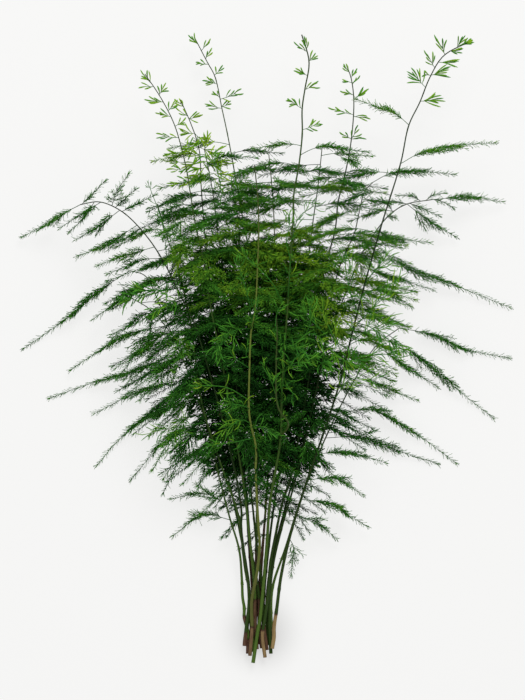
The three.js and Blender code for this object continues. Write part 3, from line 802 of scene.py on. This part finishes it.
def pass_under(path, name, lines):
    """Lowers a path where it crosses a stem that shows in front, and keeps it off the surface."""
    for shown in SHOWN_STEMS:
        if shown != name:
            line = lines[shown]
            away = np.hypot(path[:, None, 0] - line[None, :, 0], path[:, None, 1] - line[None, :, 1])
            ceiling = line[away.argmin(1), 2] - PASSING
            near = np.exp(-(away.min(1) / 15)**4)
            path[:, 2] -= np.maximum(path[:, 2] - ceiling, 0) * near
    path[:, 2] = np.maximum(path[:, 2], INNER_LOWEST)


def rolled(rng, heading, roll):
    """How a spray's branchlets lie: across its heading and level up the bunch, but for a small roll."""
    level = unit(np.cross(heading, [0, 1.0, 0]))
    turn = math.radians(rng.normal(0, roll))
    return level * math.cos(turn) + np.cross(heading, level) * math.sin(turn)


def deep_sprays(mesh, rng, name, lines):
    """Sprays deep in the bunch, painted dark as painted shade, which close it in plan, and finer ones between
    the stems.
    """
    line = lines[name]
    for y in np.arange(-172, -120, 15):
        for side in (-1.0, 1.0):
            root = up_stem(line, y + rng.uniform(-5, 5))
            turn = math.radians(rng.uniform(-10, 30))
            heading = outwards(side, turn)
            length = rng.uniform(28, 50)
            path = inner_line(root, heading, length, rng.uniform(10, 50), rng.uniform(10, 40))
            pass_under(path, name, lines)
            # A dark green: painted shade deep in the bunch.
            tone = 0.25 + rng.normal(0, 0.04)
            spray(mesh, rng, path, rolled(rng, heading, DEEP_ROLL), LOW, tone, stalk=0.14, leafy=0.75)
    for y in np.arange(-120, 112, 16):
        for side in (-1.0, 1.0):
            root = up_stem(line, y + rng.uniform(-8, 8))
            turn = math.radians(rng.uniform(0, 22))
            heading = outwards(side, turn)
            reach = np.interp(y, OUTLINE_Y, OUTLINE_RIGHT if side > 0 else OUTLINE_LEFT)
            length = min(rng.uniform(60, 96), abs(reach * 0.52 - root[0]))
            if length < SHORTEST:
                continue
            path = inner_line(root, heading, length, rng.uniform(10, 34), rng.uniform(8, 34))
            pass_under(path, name, lines)
            path[:, 2] = np.minimum(path[:, 2], DEEP_HEIGHT)
            # Near-black up to the middle of the bunch and paler further up: painted shade deep in the bunch.
            tone = 0.14 + 0.3 * ease(min(max(y + 10, 0) / 80, 1)) + rng.normal(0, 0.02)
            spray(mesh, rng, path, rolled(rng, heading, DEEP_ROLL), DEEP, tone, stalk=0.1, leafy=0.85)


def side_fronds(mesh, rng, name, line):
    """Short bottle-brushes of needles at the end of an arching stem."""
    for start, points in SIDE_FRONDS.get(name, []):
        path = grown(line, start, points, 16)
        across = rolled(rng, unit(path[-1] - path[0]), OUTER_ROLL)
        spray(mesh, rng, path, across, FULL, 0.4, stalk=0.08, leafy=0.5)


def named_spray(mesh, rng, side, number, lines):
    """One of the sprays that the part has as a node."""
    stem, start, points = SPRAYS[side][number - 1]
    path = grown(lines[stem], start, points, 30)
    across = rolled(rng, unit(path[-1] - path[0]), OUTER_ROLL)
    if side == "upper":
        path[:, 2] -= UPPER_LOWERED * np.linspace(0, 1, len(path))
        count, paler = UPPER[number - 1]
        young_spray(mesh, rng, path, count, UPPER_STRAND, UPPER_RADIUS, paler)
        return
    tone = 0.42 + patch_tone(path[20]) * 0.5 + rng.normal(0, 0.03)
    spray(mesh, rng, path, across, FULL, tone, stalk=0.14)


def stem_bark(mesh, rng, name, line):
    """The stem itself: slightly swollen at its nodes, with small spurs, and dry sleeves near the cut end."""
    rings = 170
    share = np.linspace(0, 1, rings)**1.3
    length = length_of(line)
    body = along_line(line, share)[0]
    along = share * length
    thickness = THICKNESS.get(name, USUAL_THICKNESS)
    thickness = lerp(max(BUTT_THICKNESS, thickness), thickness, ease(np.minimum(share / 0.4, 1)))
    radius = lerp(BUTT_RADIUS, 0.62, share**0.8) * thickness
    nodes = np.cumsum(rng.uniform(24, 46, 40))
    nodes = nodes[nodes < 0.96 * length]
    for node in nodes:
        radius = radius * (1 + 0.2 * np.exp(-((along - node) / 1.8)**2))
    wander = np.zeros(rings)
    for _ in range(3):
        wander += rng.normal(0, 0.25) * np.sin(along / rng.uniform(22, 60) + rng.uniform(0, 6))
    body[:, 0] += wander * np.minimum(along / 60, 1)
    dry = np.zeros(rings)
    for start, end, widest, middle, dryness in SLEEVES.get(name, []):
        inside = ease(np.clip((along - start) / 4 + (start == 0), 0, 1))
        inside = inside * ease(np.clip((end - along) / 8, 0, 1))
        bulge = np.exp(-((along - middle) / (0.35 * (end - start)))**2)
        radius = radius + np.maximum(widest - radius, 0) * bulge * inside
        dry = np.maximum(dry, dryness * np.minimum(inside * 1.5, 1))
    mesh.tubes(body[None], radius[None], 10, dry[None], unrolled=True)
    if name == BARE_TWIG_STEM:
        start, points = BARE_TWIG
        mesh.tube(grown(line, start, points, 30), BARE_TWIG_RADIUS, 8, 0.2, unrolled=True)
    spurs = nodes[nodes < 0.6 * length] / length
    roots, heads = along_line(line, spurs)
    across = across_each(heads, rng.uniform(0, 2 * math.pi, len(spurs)))
    surface = roots + across * np.interp(spurs, share, radius)[:, None] * 0.8
    tips = surface + across * rng.uniform(1.0, 2.2, len(spurs))[:, None] - heads * 1.2
    mesh.needles(surface, tips, 0.5, 0.6)


# Materials


def new_material(name):
    material = bpy.data.materials.new(name)
    material.use_nodes = True
    return material


def feed(material, node, inputs):
    """Sets a node's inputs, or links those that are given as another node's output."""
    for key, value in inputs.items():
        if isinstance(value, bpy.types.NodeSocket):
            material.node_tree.links.new(value, node.inputs[key])
        else:
            node.inputs[key].default_value = value


def add(material, kind, output, inputs, **settings):
    """Adds a node and gives one of its outputs."""
    node = material.node_tree.nodes.new("ShaderNode" + kind)
    for key, value in settings.items():
        setattr(node, key, value)
    feed(material, node, inputs)
    return node.outputs[output]


def attribute(material, name):
    return add(material, "Attribute", "Fac", {}, attribute_name=name)


def object_place(material):
    return add(material, "TexCoord", "Object", {})


def ramp(material, value, stops):
    """Colours by value, from stops that each have a position and a colour."""
    node = material.node_tree.nodes.new("ShaderNodeValToRGB")
    elements = node.color_ramp.elements
    while len(elements) > 1:
        elements.remove(elements[-1])
    elements[0].position, elements[0].color = stops[0][0], (*stops[0][1], 1)
    for position, colour in stops[1:]:
        elements.new(position).color = (*colour, 1)
    feed(material, node, {"Fac": value})
    return node.outputs["Color"]


def spread(material, value, low, high, start=0.0, end=1.0, **settings):
    """Turns values from start to end into values from low to high."""
    inputs = {"Value": value, "From Min": start, "From Max": end, "To Min": low, "To Max": high}
    return add(material, "MapRange", "Result", inputs, **settings)


def maths(material, operation, *values):
    return add(material, "Math", "Value", dict(enumerate(values)), operation=operation)


def brightened(material, colour, value):
    return add(material, "HueSaturation", "Color", {"Color": colour, "Value": value})


def shade(material, inputs):
    feed(material, material.node_tree.nodes["Principled BSDF"], inputs)


def srgb(red, green, blue):
    def linear(value):
        value /= 255
        return value / 12.92 if value <= 0.04045 else ((value + 0.055) / 1.055)**2.4
    return linear(red), linear(green), linear(blue)


def foliage_material():
    """Green by tone, paler towards each needle's tip, with a fine mottle."""
    material = new_material("needle_foliage")
    green = ramp(material, attribute(material, "tone"), [
        (0.0, srgb(8, 26, 8)), (0.2, srgb(30, 70, 26)), (0.36, srgb(52, 112, 38)), (0.5, srgb(74, 136, 40)),
        (0.65, srgb(118, 160, 38)), (0.8, srgb(156, 186, 46)), (1.0, srgb(184, 206, 74))])
    mottle = add(material, "TexNoise", "Fac", {"Vector": object_place(material), "Scale": 260, "Detail": 2})
    lighter = maths(material, "MULTIPLY_ADD", attribute(material, "along"), 0.3, 0.72)
    patchy = maths(material, "MULTIPLY_ADD", mottle, 0.3, lighter)
    shade(material, {"Base Color": brightened(material, green, patchy),
                     "Roughness": spread(material, mottle, 0.42, 0.68), "Specular IOR Level": 0.02})
    return material


def bark_material(colour, young, old):
    """Green bark, old at the cut end and young further up, which turns papery where the stem is dry."""
    material = new_material("stem_" + colour + "_bark")
    streaks = add(material, "Mapping", "Vector", {"Vector": object_place(material), "Scale": (900, 60, 900)})
    grain = add(material, "TexNoise", "Fac", {"Vector": streaks, "Scale": 1, "Detail": 4})
    green = ramp(material, attribute(material, "along"), [
        (0.0, old), (0.18, old), (0.45, young), (0.8, young), (1.0, srgb(44, 60, 28))])
    mottled = maths(material, "MULTIPLY_ADD", grain, 0.5, attribute(material, "tone"))
    dryness = maths(material, "SUBTRACT", mottled, 0.25)
    papery = ramp(material, dryness, [
        (0.36, srgb(52, 38, 26)), (0.5, srgb(82, 56, 44)), (0.95, srgb(142, 120, 80))])
    worn = spread(material, dryness, 0.0, 1.0, start=0.12, end=0.4)
    mixed = material.node_tree.nodes.new("ShaderNodeMix")
    mixed.data_type = "RGBA"
    feed(material, mixed, {"Factor": worn, "A": green, "B": papery})
    light = spread(material, grain, 0.72, 1.3)
    bump = add(material, "Bump", "Normal", {"Height": grain, "Strength": 0.4, "Distance": 0.0002})
    shade(material, {"Base Color": brightened(material, mixed.outputs["Result"], light), "Normal": bump,
                     "Roughness": spread(material, grain, 0.36, 0.7), "Specular IOR Level": 0.12})
    return material


def floor_material():
    """A pale ground that glows, with a soft painted shade round the cut ends."""
    material = new_material("pale_floor")
    centred = add(material, "Mapping", "Vector", {
        "Vector": object_place(material), "Location": (SHADE_MIDDLE[0] * MM, SHADE_MIDDLE[1] * MM, 0),
        "Scale": (SHADE_REACH * MM, SHADE_REACH * MM, 1)}, vector_type="TEXTURE")
    # Painted shadow: the glow fades from the shade's value at the cut ends to the ground's usual glow further
    # out.
    fading = add(material, "TexGradient", "Fac", {"Vector": centred}, gradient_type="SPHERICAL")
    glow = spread(material, fading, GROUND_GLOW, SHADE_GLOW, interpolation_type="SMOOTHERSTEP")
    shade(material, {"Base Color": (0.15, 0.15, 0.148, 1), "Emission Color": (1.0, 0.998, 0.99, 1),
                     "Emission Strength": glow, "Roughness": 0.9, "Specular IOR Level": 0.1})
    return material


def make_floor():
    bpy.ops.mesh.primitive_plane_add(size=30, location=(0, 0, 0))
    floor = bpy.context.object
    floor.name = "floor"
    floor.data.materials.append(floor_material())


def make_camera():
    data = bpy.data.cameras.new("camera")
    data.sensor_width = SENSOR
    seen = PHOTO_HIGH * MM_PER_PIXEL
    data.lens = SENSOR * (CAMERA_HEIGHT - SHARP_HEIGHT) / seen
    data.clip_end = 100
    camera = bpy.data.objects.new("camera", data)
    camera.location = (PHOTO_MIDDLE[0] * MM, PHOTO_MIDDLE[1] * MM, CAMERA_HEIGHT * MM)
    bpy.context.scene.collection.objects.link(camera)
    bpy.context.scene.camera = camera


def make_light():
    world = bpy.data.worlds.new("studio")
    world.use_nodes = True
    world.node_tree.nodes["Background"].inputs["Color"].default_value = (1.0, 1.0, 1.0, 1)
    world.node_tree.nodes["Background"].inputs["Strength"].default_value = 0.5
    bpy.context.scene.world = world
    for name, place, power, size in (
            ("key", (0.5, 1.6, 2.6), 58, 1.4), ("fill", (-1.8, -0.6, 2.4), 10, 2.0)):
        data = bpy.data.lights.new(name, "AREA")
        data.energy = power
        data.size = size
        light = bpy.data.objects.new(name, data)
        light.location = place
        x, y, z = place
        light.rotation_euler = (math.atan2(math.hypot(x, y), z), 0, math.atan2(x, -y))
        bpy.context.scene.collection.objects.link(light)
    bpy.context.scene.view_settings.view_transform = "Standard"


make_camera()
make_floor()
make_light()

foliage = foliage_material()
barks = {
    "green": bark_material("green", srgb(54, 80, 28), srgb(72, 98, 36)),
    "dark": bark_material("dark", srgb(26, 46, 12), srgb(42, 62, 20)),
    "olive": bark_material("olive", srgb(100, 112, 46), srgb(84, 88, 42)),
}

lines = {name: stem_line(name) for name in STEMS}
for name, line in lines.items():
    colour = STEMS[name][3]
    bark = Mesh()
    stem_bark(bark, seeded("stem_" + name), name, line)
    bark.piece(name + "_stem", barks[colour], "stem_" + colour, "stem_" + name)
    inner = Mesh()
    rng = seeded(name + " inner")
    inner_sprays(inner, rng, name, lines)
    side_fronds(inner, rng, name, line)
    if name in DEEP_STEMS:
        deep_sprays(inner, rng, name, lines)
    inner.piece(name + "_inner_sprays", foliage, "foliage_dark")
    if name in TWIGS or name in YOUNG:
        young = Mesh()
        rng = seeded(name + " young")
        for twig in TWIGS.get(name, []):
            finger_twig(young, rng, line, twig, FINGER_TONE.get(name, USUAL_FINGER_TONE))
        for start, points, count, size, thickness in YOUNG.get(name, []):
            young_spray(young, rng, grown(line, start, points, 24), count, size, thickness)
        young.piece(name + "_young_growth", foliage, "foliage_young")

for side, sprays in SPRAYS.items():
    slot = "foliage_young" if side == "upper" else "foliage_dark"
    for number in range(1, len(sprays) + 1):
        label = f"{side}_{number:02}"
        needles = Mesh()
        named_spray(needles, seeded("spray_" + label), side, number, lines)
        needles.piece(label + "_spray", foliage, slot, "spray_" + label)
